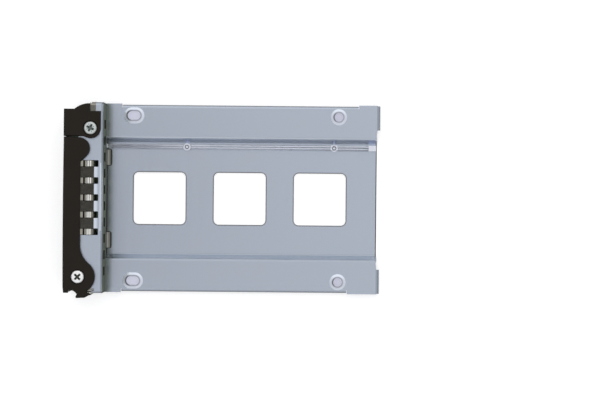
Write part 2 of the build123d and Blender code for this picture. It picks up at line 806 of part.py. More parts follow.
def make_lever_spring():
    """Torsion spring: one leg bears on the lever's wall, the other hooks up into the top plate."""
    coil_r = post_d / 2 + coil_play + wire_d / 2
    hole = (wall_x - spring_hole_inset_x, -(frame_half - spring_hole_inset_y))
    away = (hole[0] - lever_pivot_x, hole[1] - lever_pivot_y)
    distance = hypot(*away)
    end_deg = degrees(atan2(away[1], away[0])) - degrees(acos(coil_r / distance))
    start_deg = 180
    turns = coil_turns + (end_deg - start_deg) % 360 / 360
    path = coil(lever_pivot, start_deg, turns)
    start, way = path @ 0, path % 0
    end, onward = path @ 1, path % 1
    run = sqrt(distance**2 - coil_r**2) / hypot(onward.X, onward.Y)
    below = end + onward * run
    tip = Vector(below.X, below.Y, frame_top_z - spring_tip_drop)
    hook = FilletPolyline(end, below, tip, radius=2 * wire_d)
    return wire(path) + wire(Line(start, start - way * lever_spring_leg)) + wire(hook)


def make_latch_spring():
    """Torsion spring: one leg bears on the rear wall, the other on the latch's wall."""
    path = coil(latch_pivot, 90, coil_turns)
    start, way = path @ 0, path % 0
    end, onward = path @ 1, path % 1
    back_leg = Line(start, start - way * (wall_front_x - spring_stop_gap - start.X))
    front_leg = Line(end, end + onward * latch_spring_leg)
    return wire(path) + wire(back_leg) + wire(front_leg)


def make_rivets():
    """Two flush rivets: a countersunk foot in the tray, a low head on the frame's foot."""
    rivets = []
    for side in ends.values():
        place = (rivet_x, side * rivet_y)
        body = rod(place, rivet_d / 2, tongue_under_z, ledge_z + sheet_t)
        body += Pos(*place, tongue_under_z) * rivet_sink()
        body += rod(place, rivet_head_d / 2, ledge_z + sheet_t, ledge_z + sheet_t + rivet_head_t)
        rivets.append(body)
    return Compound(rivets)


nodes = {
    "tray": make_tray(),
    "front_frame": make_front_frame(),
    "contact_strip": make_contact_strip(),
    "side_spring_latch_end": make_side_spring(1, side_spring_inset_latch),
    "side_spring_hinge_end": make_side_spring(-1, side_spring_inset_hinge),
    "light_pipe": make_light_pipe(),
    "lever": make_lever(),
    "latch": make_latch(),
    "lever_post": make_post(lever_pivot),
    "latch_post": make_post(latch_pivot),
    "lever_screw_top": make_screw(lever_pivot, True, lever_screw_turns[0], False),
    "lever_screw_bottom": make_screw(lever_pivot, False, lever_screw_turns[1], False),
    "latch_screw_top": make_screw(latch_pivot, True, latch_screw_turns[0], True),
    "latch_screw_bottom": make_screw(latch_pivot, False, latch_screw_turns[1], True),
    "lever_washers": make_washers(lever_pivot),
    "latch_washers": make_washers(latch_pivot),
    "lever_spring": make_lever_spring(),
    "latch_spring": make_latch_spring(),
    "frame_rivets": make_rivets(),
}

os.makedirs("parts", exist_ok=True)
for name, shape in nodes.items():
    export_step(shape, f"parts/{name}.step")
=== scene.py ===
# %% [markdown]
# # A hot swap drive caddy, dressed for its portrait
# The caddy is a folded sheet tray that carries one small drive into a server. Its solids come
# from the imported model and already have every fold, hole and dimple of the real sheet, so no
# piece is modelled again here. This lesson is about the rest: the lens, the finish of
# zinc-coated sheet, rolled stainless, black moulded plastic, clear plastic and plated screws,
# and the light. Everything is in metres, in the model's own frame, with +X to the connector end
# and +Z up.

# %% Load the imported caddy
from math import pi

import bmesh
import bpy
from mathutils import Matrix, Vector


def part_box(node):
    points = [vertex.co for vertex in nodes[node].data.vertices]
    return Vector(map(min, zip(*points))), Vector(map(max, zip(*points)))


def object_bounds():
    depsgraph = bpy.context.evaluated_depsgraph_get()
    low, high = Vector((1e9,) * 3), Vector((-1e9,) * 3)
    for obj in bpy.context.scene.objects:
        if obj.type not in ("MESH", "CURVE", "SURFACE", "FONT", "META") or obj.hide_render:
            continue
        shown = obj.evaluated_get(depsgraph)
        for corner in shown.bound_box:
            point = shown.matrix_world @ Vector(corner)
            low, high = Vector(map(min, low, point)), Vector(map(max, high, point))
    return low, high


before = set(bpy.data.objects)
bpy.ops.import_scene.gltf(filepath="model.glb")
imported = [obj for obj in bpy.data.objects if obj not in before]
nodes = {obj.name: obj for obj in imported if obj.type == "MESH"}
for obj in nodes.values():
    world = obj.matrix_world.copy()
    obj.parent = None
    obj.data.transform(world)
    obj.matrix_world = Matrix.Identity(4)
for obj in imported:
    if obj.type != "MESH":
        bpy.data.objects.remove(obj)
cad_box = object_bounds()
MM = 0.001
print("pieces from the model:", ", ".join(sorted(nodes)))

# %% [markdown]
# ## The lens
# The caddy is seen from straight above, from about sixty centimetres. That is far enough for the
# sheet to look flat, yet near enough for the inner sides of the windows to show. A lens that is
# too long would hide those sides, so the distance comes first and the focal length follows from
# how much of the table fits in the picture. The camera is turned by half a degree, because the
# caddy lies half a degree askew in the picture.

# %% Camera above the tray
ledge_z = -0.5 * MM
view_height = 620 * MM
view_width = 224.4 * MM
view_centre = (-14.3 * MM, -0.2 * MM)
askew = 0.00908
sensor = 36.0

camera_data = bpy.data.cameras.new("overhead")
camera_data.sensor_width = sensor
camera_data.lens = sensor * view_height / view_width
camera_data.clip_start = 10 * MM
camera = bpy.data.objects.new("overhead", camera_data)
camera.location = (*view_centre, ledge_z + view_height)
camera.rotation_euler = (0, 0, askew)
bpy.context.scene.collection.objects.link(camera)
bpy.context.scene.camera = camera
bpy.context.scene.view_settings.view_transform = "Standard"
print(f"lens {camera_data.lens:.1f} mm at {view_height / MM:.0f} mm")

# %% [markdown]
# ## A small box of tools for finishes
# A finish on real metal or plastic is never one number. Rolling leaves lines, a zinc bath leaves
# faint clouds, and a spark-eroded mould leaves a fine grain. Pictures of such surfaces could be
# laid on the pieces, but they blur close up and need unwrapped meshes. So each finish here is a
# short chain of nodes: a place on the piece, a pattern at that place, and what the pattern
# changes. Places are read in metres, so a pattern's scale is in repeats to the metre.

# %% A finish and its nodes
def new_finish(name, colour, metallic, roughness):
    """A finish with one even colour, to which patterns are added."""
    finish = bpy.data.materials.new(name)
    finish.use_nodes = True
    shader = finish.node_tree.nodes["Principled BSDF"]
    shader.inputs["Base Color"].default_value = (*colour, 1)
    shader.inputs["Metallic"].default_value = metallic
    shader.inputs["Roughness"].default_value = roughness
    return finish, shader


def join(finish, output, socket):
    """Joins a node's output to another node's input."""
    finish.node_tree.links.new(output, socket)


def add_node(finish, kind, **values):
    """A node whose settings have small letters and whose inputs have capitals, by name.
    A value that is a socket is joined to its input."""
    node = finish.node_tree.nodes.new(kind)
    for name, value in values.items():
        if name.islower():
            setattr(node, name, value)
        elif isinstance(value, bpy.types.NodeSocket):
            join(finish, value, node.inputs[name.replace("_", " ")])
        else:
            node.inputs[name.replace("_", " ")].default_value = value
    return node


def dress(finish, *names):
    """Puts one finish on pieces of the model."""
    for name in names:
        nodes[name].data.materials.clear()
        nodes[name].data.materials.append(finish)
    print(f"{finish.name}: {', '.join(names)}")


# %% Patterns and relief
def place_on(finish, stretch=(1, 1, 1), centre=(0, 0, 0)):
    """The place on the piece in metres, from a centre and stretched."""
    here = add_node(finish, "ShaderNodeTexCoord").outputs["Object"]
    shift = tuple(-c * s for c, s in zip(centre, stretch))
    mapping = add_node(finish, "ShaderNodeMapping", Vector=here, Location=shift, Scale=stretch)
    return mapping.outputs[0]


def cloud(finish, place, scale, detail):
    """A soft random pattern from 0 to 1, most of it between 0.3 and 0.7."""
    noise = add_node(finish, "ShaderNodeTexNoise", Vector=place, Scale=scale, Detail=detail)
    return noise.outputs["Fac"]


def spread(finish, value, low, high, start=0.3, end=0.7):
    """A number's run from start to end, moved to run from low to high and held there."""
    moved = add_node(
        finish, "ShaderNodeMapRange", Value=value, From_Min=start, From_Max=end, To_Min=low, To_Max=high
    )
    return moved.outputs[0]


def two_colours(finish, share, first, second):
    """A blend of two plain colours by a pattern."""
    ramp = add_node(finish, "ShaderNodeValToRGB", Fac=share)
    ramp.color_ramp.elements[0].color = (*first, 1)
    ramp.color_ramp.elements[1].color = (*second, 1)
    return ramp.outputs[0]


def relief(finish, shader, height, depth):
    """Small relief: a pattern's height, and how deep it is in metres."""
    bump = add_node(finish, "ShaderNodeBump", Height=height, Strength=1.0, Distance=depth)
    join(finish, bump.outputs[0], shader.inputs["Normal"])


# %% Sums and blends
# A Mix node has sockets for numbers, places and colours, and these are its ones for colours.
mix_share, mix_colours, mix_result = 0, (6, 7), 2


def math_of(finish, operation, first, *others):
    """A sum on numbers or sockets: on one alone, or on several from the first to the last."""
    for other in others or (0.0,):
        node = add_node(finish, "ShaderNodeMath", operation=operation)
        for value, socket in zip((first, other), node.inputs):
            if isinstance(value, bpy.types.NodeSocket):
                join(finish, value, socket)
            else:
                socket.default_value = value
        first = node.outputs[0]
    return first


def blend(finish, share, first, second):
    """A blend of two colours, each a plain colour or a socket."""
    mix = add_node(finish, "ShaderNodeMix", data_type="RGBA")
    join(finish, share, mix.inputs[mix_share])
    for value, index in zip((first, second), mix_colours):
        if isinstance(value, bpy.types.NodeSocket):
            join(finish, value, mix.inputs[index])
        else:
            mix.inputs[index].default_value = (*value, 1)
    return mix.outputs[mix_result]


def toned(colour, level):
    """A colour made darker or lighter."""
    return tuple(part * level for part in colour)


# %% [markdown]
# ## Tools for places
# Some of what the eye sees belongs to one place: a burnished ring round a screw seat, the dull
# foot of a wall, a dark line along a fold. Such a place could be painted on the mesh point by
# point, but the mesh is the model's own, has few points on its flats, and stays as it is. So a
# place is told by its coordinates, as a band, a span, a box or a distance. Each gives a share
# from 0 to 1, and the share blends one tint over another.

# %% Bands, spans, boxes and distances
def parts_of(finish, vector=None):
    """The X, Y and Z of a vector, or of the place on the piece if none is given."""
    if vector is None:
        vector = place_on(finish)
    return add_node(finish, "ShaderNodeSeparateXYZ", Vector=vector).outputs


def away_from(finish, value, middle):
    """How far a number is from a middle value."""
    return math_of(finish, "ABSOLUTE", math_of(finish, "SUBTRACT", value, middle))


def band_share(finish, value, middle, half):
    """1 in a band about a middle value, falling to 0 between two half widths."""
    return spread(finish, away_from(finish, value, middle), 1, 0, *half)


def inside_span(finish, value, low, high):
    """1 where a number lies between two limits, 0 elsewhere."""
    away = away_from(finish, value, (low + high) / 2)
    return math_of(finish, "LESS_THAN", away, (high - low) / 2)


def in_box_share(finish, box):
    """1 within a box given by its limits along X, Y and Z, 0 outside it."""
    spans = (inside_span(finish, part, *limits) for part, limits in zip(parts_of(finish), box))
    return math_of(finish, "MULTIPLY", *spans)


def length_of(finish, vector):
    """The length of a vector."""
    return add_node(finish, "ShaderNodeVectorMath", operation="LENGTH", Vector=vector).outputs["Value"]


def length_in_plan(finish, along, across):
    """The length of the line that goes so far along X and so far along Y."""
    flat = add_node(finish, "ShaderNodeCombineXYZ", X=along, Y=across)
    return length_of(finish, flat.outputs[0])


def upward(finish, normal="Normal"):
    """How far a face looks up: 1 on a level top, 0 on an upright face, -1 on an underside."""
    geometry = add_node(finish, "ShaderNodeNewGeometry")
    return parts_of(finish, geometry.outputs[normal])[2]


# %% [markdown]
# ## Zinc-coated sheet
# The tray and the front frame are pressed from steel that was zinc-plated in the coil. The coat
# is a cool grey with a satin gloss: near the rear wall the sheet shows a soft mirror image of
# the wall. A glossy paint shows no such image, and a polished metal too sharp a one, so the
# finish is metal with a middling roughness. Very faint clouds of tint and rolling lines across
# the tray keep it from looking like one flat colour.

# %% The coat of zinc
zinc_cool, zinc_warm = (0.460, 0.515, 0.608), (0.485, 0.524, 0.596)
zinc_metallic, zinc_roughness = 0.9, 0.3
zinc_clouds, zinc_grain, rolling_lines = (90, 3), (2600, 3), (1800, 4)
rolling_stretch = (1.0, 0.02, 1.0)
zinc_depth = 0.0015 * MM


def coat_of_zinc(finish):
    """Faint clouds of a cool and a warm grey."""
    return two_colours(finish, cloud(finish, place_on(finish), *zinc_clouds), zinc_cool, zinc_warm)


print(f"zinc relief {zinc_depth / MM:.4f} mm deep, {1000 / zinc_grain[0]:.2f} mm from grain to grain")

# %% [markdown]
# ## Screw seats
# At each drive screw the press has drawn the sheet up into a low seat, round at the rear and
# slotted at the front. The seat's shoulder catches the light, and is given a painted highlight
# nearly white. The lip round the hole turns down into shade, painted as a dark tint, most of all
# on its front side, away from the light. A loose ring could be laid there, but it is all one
# sheet, so it is a tint by the distance from the seat's middle line, which is a point at a round
# seat and a short line at a slot.

# %% Screw seats
seat_y = 30.86 * MM
seat_places = ((0, 0), (-76.6 * MM, 0.8 * MM))
seat_ring, seat_lip = (2.90 * MM, 3.15 * MM), (2.00 * MM, 2.25 * MM)
# A painted highlight, also used on the plate and the slopes, and the lower metallic that lets it show on
# the seats.
painted_highlight_zinc, highlight_metallic = (0.83, 0.885, 1.0), 0.4
# Painted shade on the seats' lips: a soft one, and a deeper one on the front side.
lip_soft_shade, lip_shade = (0.42, 0.43, 0.50), (0.13, 0.135, 0.15)
lip_shade_x = (-2.0 * MM, -0.6 * MM)
mid_tray_x = -38 * MM


def distance_to_seat(finish):
    """How far a place is, in plan, from the nearest screw seat's middle line."""
    along, across, _ = parts_of(finish)
    away_y = math_of(finish, "SUBTRACT", math_of(finish, "ABSOLUTE", across), seat_y)
    distances = []
    for x, half_slot in seat_places:
        away_x = math_of(finish, "SUBTRACT", away_from(finish, along, x), half_slot)
        away_x = math_of(finish, "MAXIMUM", away_x, 0.0)
        distances.append(length_in_plan(finish, away_x, away_y))
    return math_of(finish, "MINIMUM", *distances)


def seat_ring_share(finish):
    """1 out to the edge of the seat's shoulder, which has the painted highlight, 0 beyond it."""
    return spread(finish, distance_to_seat(finish), 1, 0, *seat_ring)


def lip_shade_share(finish):
    """1 on the front side of each seat, where its lip turns from the light."""
    along, _, _ = parts_of(finish)
    (rear_seat, _), (front_seat, _) = seat_places
    in_front = math_of(finish, "LESS_THAN", along, mid_tray_x)
    seat = spread(finish, in_front, rear_seat, front_seat, 0, 1)
    return spread(finish, math_of(finish, "SUBTRACT", along, seat), 1, 0, *lip_shade_x)


def finish_seats(finish, tint):
    """A painted highlight on the shoulder of each seat, and painted shade on the lip within it."""
    lip = spread(finish, distance_to_seat(finish), 1, 0, *seat_lip)
    tint = blend(finish, seat_ring_share(finish), tint, painted_highlight_zinc)
    return blend(finish, lip, tint, blend(finish, lip_shade_share(finish), lip_soft_shade, lip_shade))


# The seats' shoulders carry the painted highlight out to this distance.
print(f"{2 * len(seat_places)} screw seats, burnished out to {seat_ring[1] / MM:.2f} mm")

# %% [markdown]
# ## Windows
# Three square windows lighten the tray's floor. Their edges are rolled over a little by the
# punch and turn down into shade, so each has a thin dark line round it. Light alone shows that
# shade too faintly from above, so the line is painted shade, a dark tint at a set distance
# outside a rounded square.

# %% Rims of the windows
window_places = (-6.9 * MM, -36.95 * MM, -67.0 * MM)
window_half, window_r = 9.75 * MM, 1.9 * MM
# Painted shade along the window rims.
window_rim, rim_shade = (0.22 * MM, 0.42 * MM), (0.15, 0.145, 0.155)


def finish_window_rims(finish, tint):
    """Painted shade along the rolled-over edge round each window."""
    along, across, _ = parts_of(finish)
    straight = window_half - window_r
    away_y = math_of(finish, "SUBTRACT", math_of(finish, "ABSOLUTE", across), straight)
    away_y = math_of(finish, "MAXIMUM", away_y, 0.0)
    distances = []
    for place in window_places:
        away_x = math_of(finish, "SUBTRACT", away_from(finish, along, place), straight)
        away_x = math_of(finish, "MAXIMUM", away_x, 0.0)
        distances.append(length_in_plan(finish, away_x, away_y))
    outside = math_of(finish, "SUBTRACT", math_of(finish, "MINIMUM", *distances), window_r)
    return blend(finish, spread(finish, outside, 1, 0, *window_rim), tint, rim_shade)


print(f"{len(window_places)} windows, {2 * window_half / MM:.1f} mm square")

# %% [markdown]
# ## The wall, its foot and its tabs
# The frame's rear wall stands up from the tray on a fold, with two tabs that seat in slots. From
# above the wall is a thin edge that mirrors the dim sheet behind it, and the tray darkens toward
# its foot, in the wall's shade and its dark mirror image. Deeper shade could come from a darker
# room, but that would dull the whole tray. So the wall, the foot and the tabs each have painted
# shade in their own box or band, and the wall's grazing reflection is dimmed by a tint.

# %% The wall, its foot and its tabs
wall_x, wall_low_z = -86.75 * MM, 0.1 * MM
wall_box = ((wall_x, -86.5 * MM), (-40 * MM, 40 * MM), (wall_low_z, 11.6 * MM))
# Painted shade on the wall, and a tint that dims its grazing reflection.
wall_shade_zinc, wall_dim_reflection_tint = (0.36, 0.385, 0.33), (0.40, 0.425, 0.34)
# Painted shade at the wall's foot.
foot_shade_zinc, foot_share, foot_x = (0.12, 0.14, 0.10), 0.60, (-86.0 * MM, -84.2 * MM)
# Painted shade on the tabs, darkest at their tips.
tab_shade_zinc, tab_tip_shade, tab_tip_x = (0.38, 0.375, 0.345), (0.10, 0.105, 0.095), -85.62 * MM
tab_x, tab_z = (-86.65 * MM, -85.1 * MM), (-3.9 * MM, -1.2 * MM)
tab_spans = ((12.2 * MM, 18.2 * MM), (-18.8 * MM, -12.8 * MM))


def on_tray_share(finish):
    """1 on the sheet behind the wall's face and lower than the wall, 0 elsewhere."""
    along, _, up = parts_of(finish)
    behind = math_of(finish, "GREATER_THAN", along, wall_x)
    return math_of(finish, "MULTIPLY", behind, math_of(finish, "LESS_THAN", up, wall_low_z))


def finish_wall(finish, tint):
    """Painted shade on the wall's upper edges, for the dim sheet that they mirror."""
    return blend(finish, in_box_share(finish, wall_box), tint, wall_shade_zinc)


def finish_foot(finish, tint):
    """Painted shade at the foot of the wall."""
    along, _, _ = parts_of(finish)
    dull = spread(finish, along, foot_share, 0, *foot_x)
    return blend(finish, math_of(finish, "MULTIPLY", dull, on_tray_share(finish)), tint, foot_shade_zinc)


def finish_tabs(finish, tint):
    """Painted shade on the frame's two tabs in their slots, darkest at their tips."""
    along, _, _ = parts_of(finish)
    for tab_y in tab_spans:
        tab = in_box_share(finish, (tab_x, tab_y, tab_z))
        tip = math_of(finish, "GREATER_THAN", along, tab_tip_x)
        tint = blend(finish, tab, tint, tab_shade_zinc)
        tint = blend(finish, math_of(finish, "MULTIPLY", tab, tip), tint, tab_tip_shade)
    return tint


print(f"wall at x = {wall_x / MM:.2f} mm, with {len(tab_spans)} tabs")

# %% [markdown]
# ## Bright bars on the frame's plate
# Beside the contact fingers the frame's top plate shows a broad bright bar and, at its rear
# bend, a thin one. The bend is real geometry, but its gloss is a hair wide and comes and goes
# with the light, so both are painted highlights, tints in a band along the comb of openings.

# %% Bright bars on the frame's plate
plate_low_z, comb_y = 11.9 * MM, (-12.1 * MM, 12.7 * MM)
plate_bars = ((-89.5 * MM, (0.6 * MM, 1.2 * MM)), (-87.4 * MM, (0.15 * MM, 0.35 * MM)))
# How strong the painted highlight of the bars is.
bar_share = 0.70


def finish_plate(finish, tint):
    """Two painted highlights as bars on the frame's top plate, along the comb of openings."""
    along, across, up = parts_of(finish)
    high = math_of(finish, "GREATER_THAN", up, plate_low_z)
    on_plate = math_of(finish, "MULTIPLY", high, inside_span(finish, across, *comb_y))
    for middle, half in plate_bars:
        bar = band_share(finish, along, middle, half)
        bar = math_of(finish, "MULTIPLY", bar, on_plate, bar_share)
        tint = blend(finish, bar, tint, painted_highlight_zinc)
    return tint


print(f"{len(plate_bars)} bars, {(comb_y[1] - comb_y[0]) / MM:.1f} mm long")

# %% [markdown]
# ## Outer folds and the rear end
# The sheet's side and rear flanges are folded down, and their outer bends turn away from the
# light. They have painted shade there, darker along the sides than at the rear, and so has the
# tray's rear end. That shade could be baked into a picture from the mesh's curvature, but a rule
# does as well: the share grows as the face turns down, and counts only beyond the flanges' inner
# lines.

# %% Outer folds and the rear end
fold_facing = (0.55, 0.95)
fold_x, fold_y = 13.8 * MM, 34.4 * MM
# Painted shade on the outer folds, darker at the sides than at the rear.
fold_shade_zinc, rear_fold_shade = (0.17, 0.18, 0.20), (0.29, 0.31, 0.35)
# Painted shade on the tray's rear end.
rear_end_shade = (0.35, 0.39, 0.46)
rear_box = ((14.25 * MM, 17 * MM), (-40 * MM, 40 * MM), (-5 * MM, 0.5 * MM))


def finish_rear_end(finish, tint):
    """Painted shade, a darker zinc, on the last millimetre of the tray's rear end."""
    return blend(finish, in_box_share(finish, rear_box), tint, rear_end_shade)


def finish_outer_folds(finish, tint):
    """Painted shade where the outer folds have turned down, and none on level sheet."""
    along, across, _ = parts_of(finish)
    turned_down = spread(finish, math_of(finish, "ABSOLUTE", upward(finish)), 1, 0, *fold_facing)
    beside = math_of(finish, "GREATER_THAN", math_of(finish, "ABSOLUTE", across), fold_y)
    behind = math_of(finish, "GREATER_THAN", along, fold_x)
    fold = math_of(finish, "MULTIPLY", turned_down, math_of(finish, "MAXIMUM", beside, behind))
    return blend(finish, fold, tint, blend(finish, behind, fold_shade_zinc, rear_fold_shade))


print(f"folds rubbed beyond y = {fold_y / MM:.1f} mm and x = {fold_x / MM:.1f} mm")

# %% [markdown]
# ## Slopes of the pan
# The floor between the ledges is pressed down into a pan, with a slope along each side. The
# slope on the latch side shines along both its bends, with a dark line between them. The other
# slope shines far less, and its two bends are dark lines. A lamp on the hinge side would light
# the first slope, but it would also show in the strip and the screws, so painted highlights and
# painted shade, in bands across the tray, do it instead.

# %% Slopes of the pan
# A painted highlight on the slope on the latch side, and a little on the far one.
slope_y, slope_half, slope_share = 21.88 * MM, (0.95 * MM, 1.12 * MM), 0.60
slope_dark_y, slope_dark_half = 21.85 * MM, (0.10 * MM, 0.48 * MM)
far_slope_y, far_slope_half, far_slope_share = -21.6 * MM, (0.50 * MM, 0.80 * MM), 0.14
far_bends, far_bend_half = (-20.75 * MM, -22.75 * MM), (0.15 * MM, 0.40 * MM)
bend_shade, bend_shade_share = (0.23, 0.26, 0.30), 0.28


def finish_slopes(finish, tint):
    """A painted highlight on the slope on the latch side, and a little of it on the other one."""
    _, across, _ = parts_of(finish)
    on_tray = on_tray_share(finish)
    dark = band_share(finish, across, slope_dark_y, slope_dark_half)
    slope = band_share(finish, across, slope_y, slope_half)
    lit = math_of(finish, "MULTIPLY", slope, math_of(finish, "SUBTRACT", 1.0, dark), on_tray, slope_share)
    tint = blend(finish, lit, tint, painted_highlight_zinc)
    far = band_share(finish, across, far_slope_y, far_slope_half)
    far = math_of(finish, "MULTIPLY", far, on_tray, far_slope_share)
    return blend(finish, far, tint, painted_highlight_zinc)


def finish_far_bends(finish, tint):
    """Painted shade as a dark line along both bends of the slope on the hinge side."""
    _, across, _ = parts_of(finish)
    for bend_y in far_bends:
        line = band_share(finish, across, bend_y, far_bend_half)
        line = math_of(finish, "MULTIPLY", line, on_tray_share(finish), bend_shade_share)
        tint = blend(finish, line, tint, bend_shade)
    return tint


print(f"slopes at y = {slope_y / MM:.1f} and {far_slope_y / MM:.1f} mm")

# %% [markdown]
# ## Shade inside the frame
# Through the vents and the comb one looks into the frame's channel, which is nearly black,
# because little light finds its way in. The light of this lesson comes from all sides, and too
# much of it gets in. A weaker light would darken the rest too, so the inside has a darker zinc,
# and so have the gap between lever and latch and the line at the wall's foot.

# %% Shade inside the frame
shaded_zinc = (0.05, 0.06, 0.045)
frame_inside = ((-105 * MM, wall_x), (-33 * MM, 33 * MM), (-4 * MM, 11.2 * MM))
lever_gap = ((-105 * MM, -95.6 * MM), (21.7 * MM, 22.9 * MM), (11.2 * MM, 12.6 * MM))
wall_line = ((-87.1 * MM, -86.7 * MM), (-34 * MM, 34 * MM), (-4 * MM, wall_low_z))


def finish_shaded_places(finish, tint):
    """Dark zinc in the three places that little light reaches."""
    for box in (frame_inside, lever_gap, wall_line):
        tint = blend(finish, in_box_share(finish, box), tint, shaded_zinc)
    return tint


print(f"shade in the frame from x = {frame_inside[0][0] / MM:.0f} to {frame_inside[0][1] / MM:.2f} mm")

# %% [markdown]
# ## Cut edges
# The press cuts through the coat, and the bare steel there is darker. Every cut edge could be
# picked out in the mesh face by face. A rule finds them as well: they are the faces that stand
# upright within the sheet's thickness, either at the pan's floor or at the ledges.

# %% Cut edges
bare_steel = (0.20, 0.20, 0.21)
sheet_levels = ((-3.8 * MM, -3.0 * MM), (-1.3 * MM, -0.5 * MM))
edge_facing = (0.02, 0.1)


def finish_cut_edges(finish, tint):
    """Bare steel on faces that stand upright within the sheet's thickness."""
    up_or_down = math_of(finish, "ABSOLUTE", upward(finish, "True Normal"))
    upright = spread(finish, up_or_down, 1, 0, *edge_facing)
    _, _, up = parts_of(finish)
    within = math_of(finish, "ADD", *(inside_span(finish, up, *level) for level in sheet_levels))
    return blend(finish, math_of(finish, "MULTIPLY", within, upright), tint, bare_steel)


print(f"sheet {(sheet_levels[0][1] - sheet_levels[0][0]) / MM:.1f} mm thick")

# %% [markdown]
# ## The finished zinc
# Tray and frame come from the same coil, but each has places that the other hasn't. One finish
# for both would work out every place on both, so each piece has its own list of places, laid
# over the coat one after another. Where two places meet, the later one covers the earlier.

# %% The finished zinc
tray_places = (
    finish_seats, finish_window_rims, finish_foot, finish_tabs, finish_rear_end,
    finish_outer_folds, finish_slopes, finish_far_bends, finish_shaded_places, finish_cut_edges,
)
frame_places = (
    finish_wall, finish_foot, finish_tabs, finish_plate,
    finish_outer_folds, finish_slopes, finish_far_bends, finish_shaded_places, finish_cut_edges,
)
tray_gloss, frame_gloss = (0.22, 0.27), (0.28, 0.33)
plain_tint = (1.0, 1.0, 1.0)


def zinc_finish(name, gloss, places):
    """The coat of zinc with a piece's places on it, its rolling lines and its fine relief."""
    finish, shader = new_finish(name, zinc_cool, metallic=zinc_metallic, roughness=zinc_roughness)
    tint = coat_of_zinc(finish)
    for finish_place in places:
        tint = finish_place(finish, tint)
    join(finish, tint, shader.inputs["Base Color"])
    rolling = cloud(finish, place_on(finish, rolling_stretch), *rolling_lines)
    join(finish, spread(finish, rolling, *gloss), shader.inputs["Roughness"])
    relief(finish, shader, cloud(finish, place_on(finish), *zinc_grain), zinc_depth)
    return finish, shader


tray_finish, tray_shader = zinc_finish("zinc_tray", tray_gloss, tray_places)
# A lower metallic on the seats' shoulders lets their painted highlight show evenly all round.
on_ring = seat_ring_share(tray_finish)
metallic = spread(tray_finish, on_ring, zinc_metallic, highlight_metallic, 0, 1)
join(tray_finish, metallic, tray_shader.inputs["Metallic"])
dress(tray_finish, "tray")

frame_finish, frame_shader = zinc_finish("zinc_frame", frame_gloss, frame_places)
# The wall's grazing reflection is dimmed by a painted tint.
edge_tint = blend(frame_finish, in_box_share(frame_finish, wall_box), plain_tint, wall_dim_reflection_tint)
join(frame_finish, edge_tint, frame_shader.inputs["Specular Tint"])
dress(frame_finish, "front_frame")

# %% [markdown]
# ## Rolled stainless strip
# The contact fingers and the clips at the frame's ends are thin stainless strip, close to a
# mirror. A finger's curve mirrors the bright room, then the dark frame, and so shows bars. Low
# roughness does that by itself, with fine lines along the strip to break the mirror a little.
# The crest also has a painted highlight, pale, with a painted dark reflection beside it, and a
# finger's low start has a painted dark reflection too. They are tints in bands on the same strip.
# The clip's end beside the black latch has a painted shade of its own.

# %% Painted light on the fingers
frame_top_z = 12.4 * MM
strip_top_z = frame_top_z + 0.12 * MM
crest_low_z = strip_top_z + 0.03 * MM
crest_facing = 0.85
crest_x, crest_half = -91.80 * MM, (0.85 * MM, 1.05 * MM)
# Where the painted dark reflection runs along the crest.
dark_reflection_x, dark_reflection_half = -91.38 * MM, (0.08 * MM, 0.16 * MM)
# The fingers' low starts, which have a painted dark reflection.
dip_x, dip_half, dip_z = -93.55 * MM, (0.30 * MM, 0.42 * MM), strip_top_z - 0.32 * MM


def light_on_fingers(finish):
    """The shares of the crests' painted highlight, of the painted dark reflection on them and of the
    fingers' low starts.
    """
    along, _, up = parts_of(finish)
    high = math_of(finish, "GREATER_THAN", up, crest_low_z)
    sloped = math_of(finish, "LESS_THAN", upward(finish), crest_facing)
    raised = math_of(finish, "MAXIMUM", high, sloped)
    low = math_of(finish, "LESS_THAN", up, dip_z)
    crest_highlight_share = math_of(finish, "MULTIPLY", band_share(finish, along, crest_x, crest_half), raised)
    dark_reflection_share = math_of(finish, "MULTIPLY", band_share(finish, along, dark_reflection_x, dark_reflection_half), raised)
    dip = math_of(finish, "MULTIPLY", band_share(finish, along, dip_x, dip_half), low)
    return crest_highlight_share, dark_reflection_share, dip


print(f"strip's top at z = {strip_top_z / MM:.2f} mm")

# %% Rolled stainless strip
stainless = (0.40, 0.385, 0.33)
# A painted highlight on the fingers' crests, with a low metallic so that it shows.
crest_highlight, crest_highlight_metallic = (1.0, 0.99, 0.95), 0.15
# A painted dark reflection, on the crests and at the fingers' low starts.
dark_reflection_tone = (0.07, 0.07, 0.06)
clip_box = ((-96 * MM, -88 * MM), (34.2 * MM, 37 * MM), (9 * MM, 14 * MM))
clip_shade = (0.25, 0.235, 0.215)
strip_lines, strip_stretch = (9000, 3), (0.03, 1.0, 1.0)
strip_gloss, strip_line_tone, strip_depth = (0.05, 0.10), 0.94, 0.0006 * MM


def stainless_finish():
    """A near mirror with fine lines, and painted highlights and dark reflections on the fingers."""
    finish, shader = new_finish("stainless_strip", stainless, metallic=1.0, roughness=0.08)
    lines = cloud(finish, place_on(finish, strip_stretch), *strip_lines)
    crest_highlight_share, dark_reflection_share, dip = light_on_fingers(finish)
    tone = two_colours(finish, lines, toned(stainless, strip_line_tone), stainless)
    tone = blend(finish, dip, tone, dark_reflection_tone)
    tone = blend(finish, in_box_share(finish, clip_box), tone, clip_shade)
    tone = blend(finish, crest_highlight_share, tone, crest_highlight)
    join(finish, blend(finish, dark_reflection_share, tone, dark_reflection_tone), shader.inputs["Base Color"])
    join(finish, spread(finish, crest_highlight_share, 1.0, crest_highlight_metallic, 0, 1), shader.inputs["Metallic"])
    join(finish, spread(finish, lines, *strip_gloss), shader.inputs["Roughness"])
    relief(finish, shader, lines, strip_depth)
    return finish


dress(stainless_finish(), "contact_strip", "side_spring_latch_end", "side_spring_hinge_end")

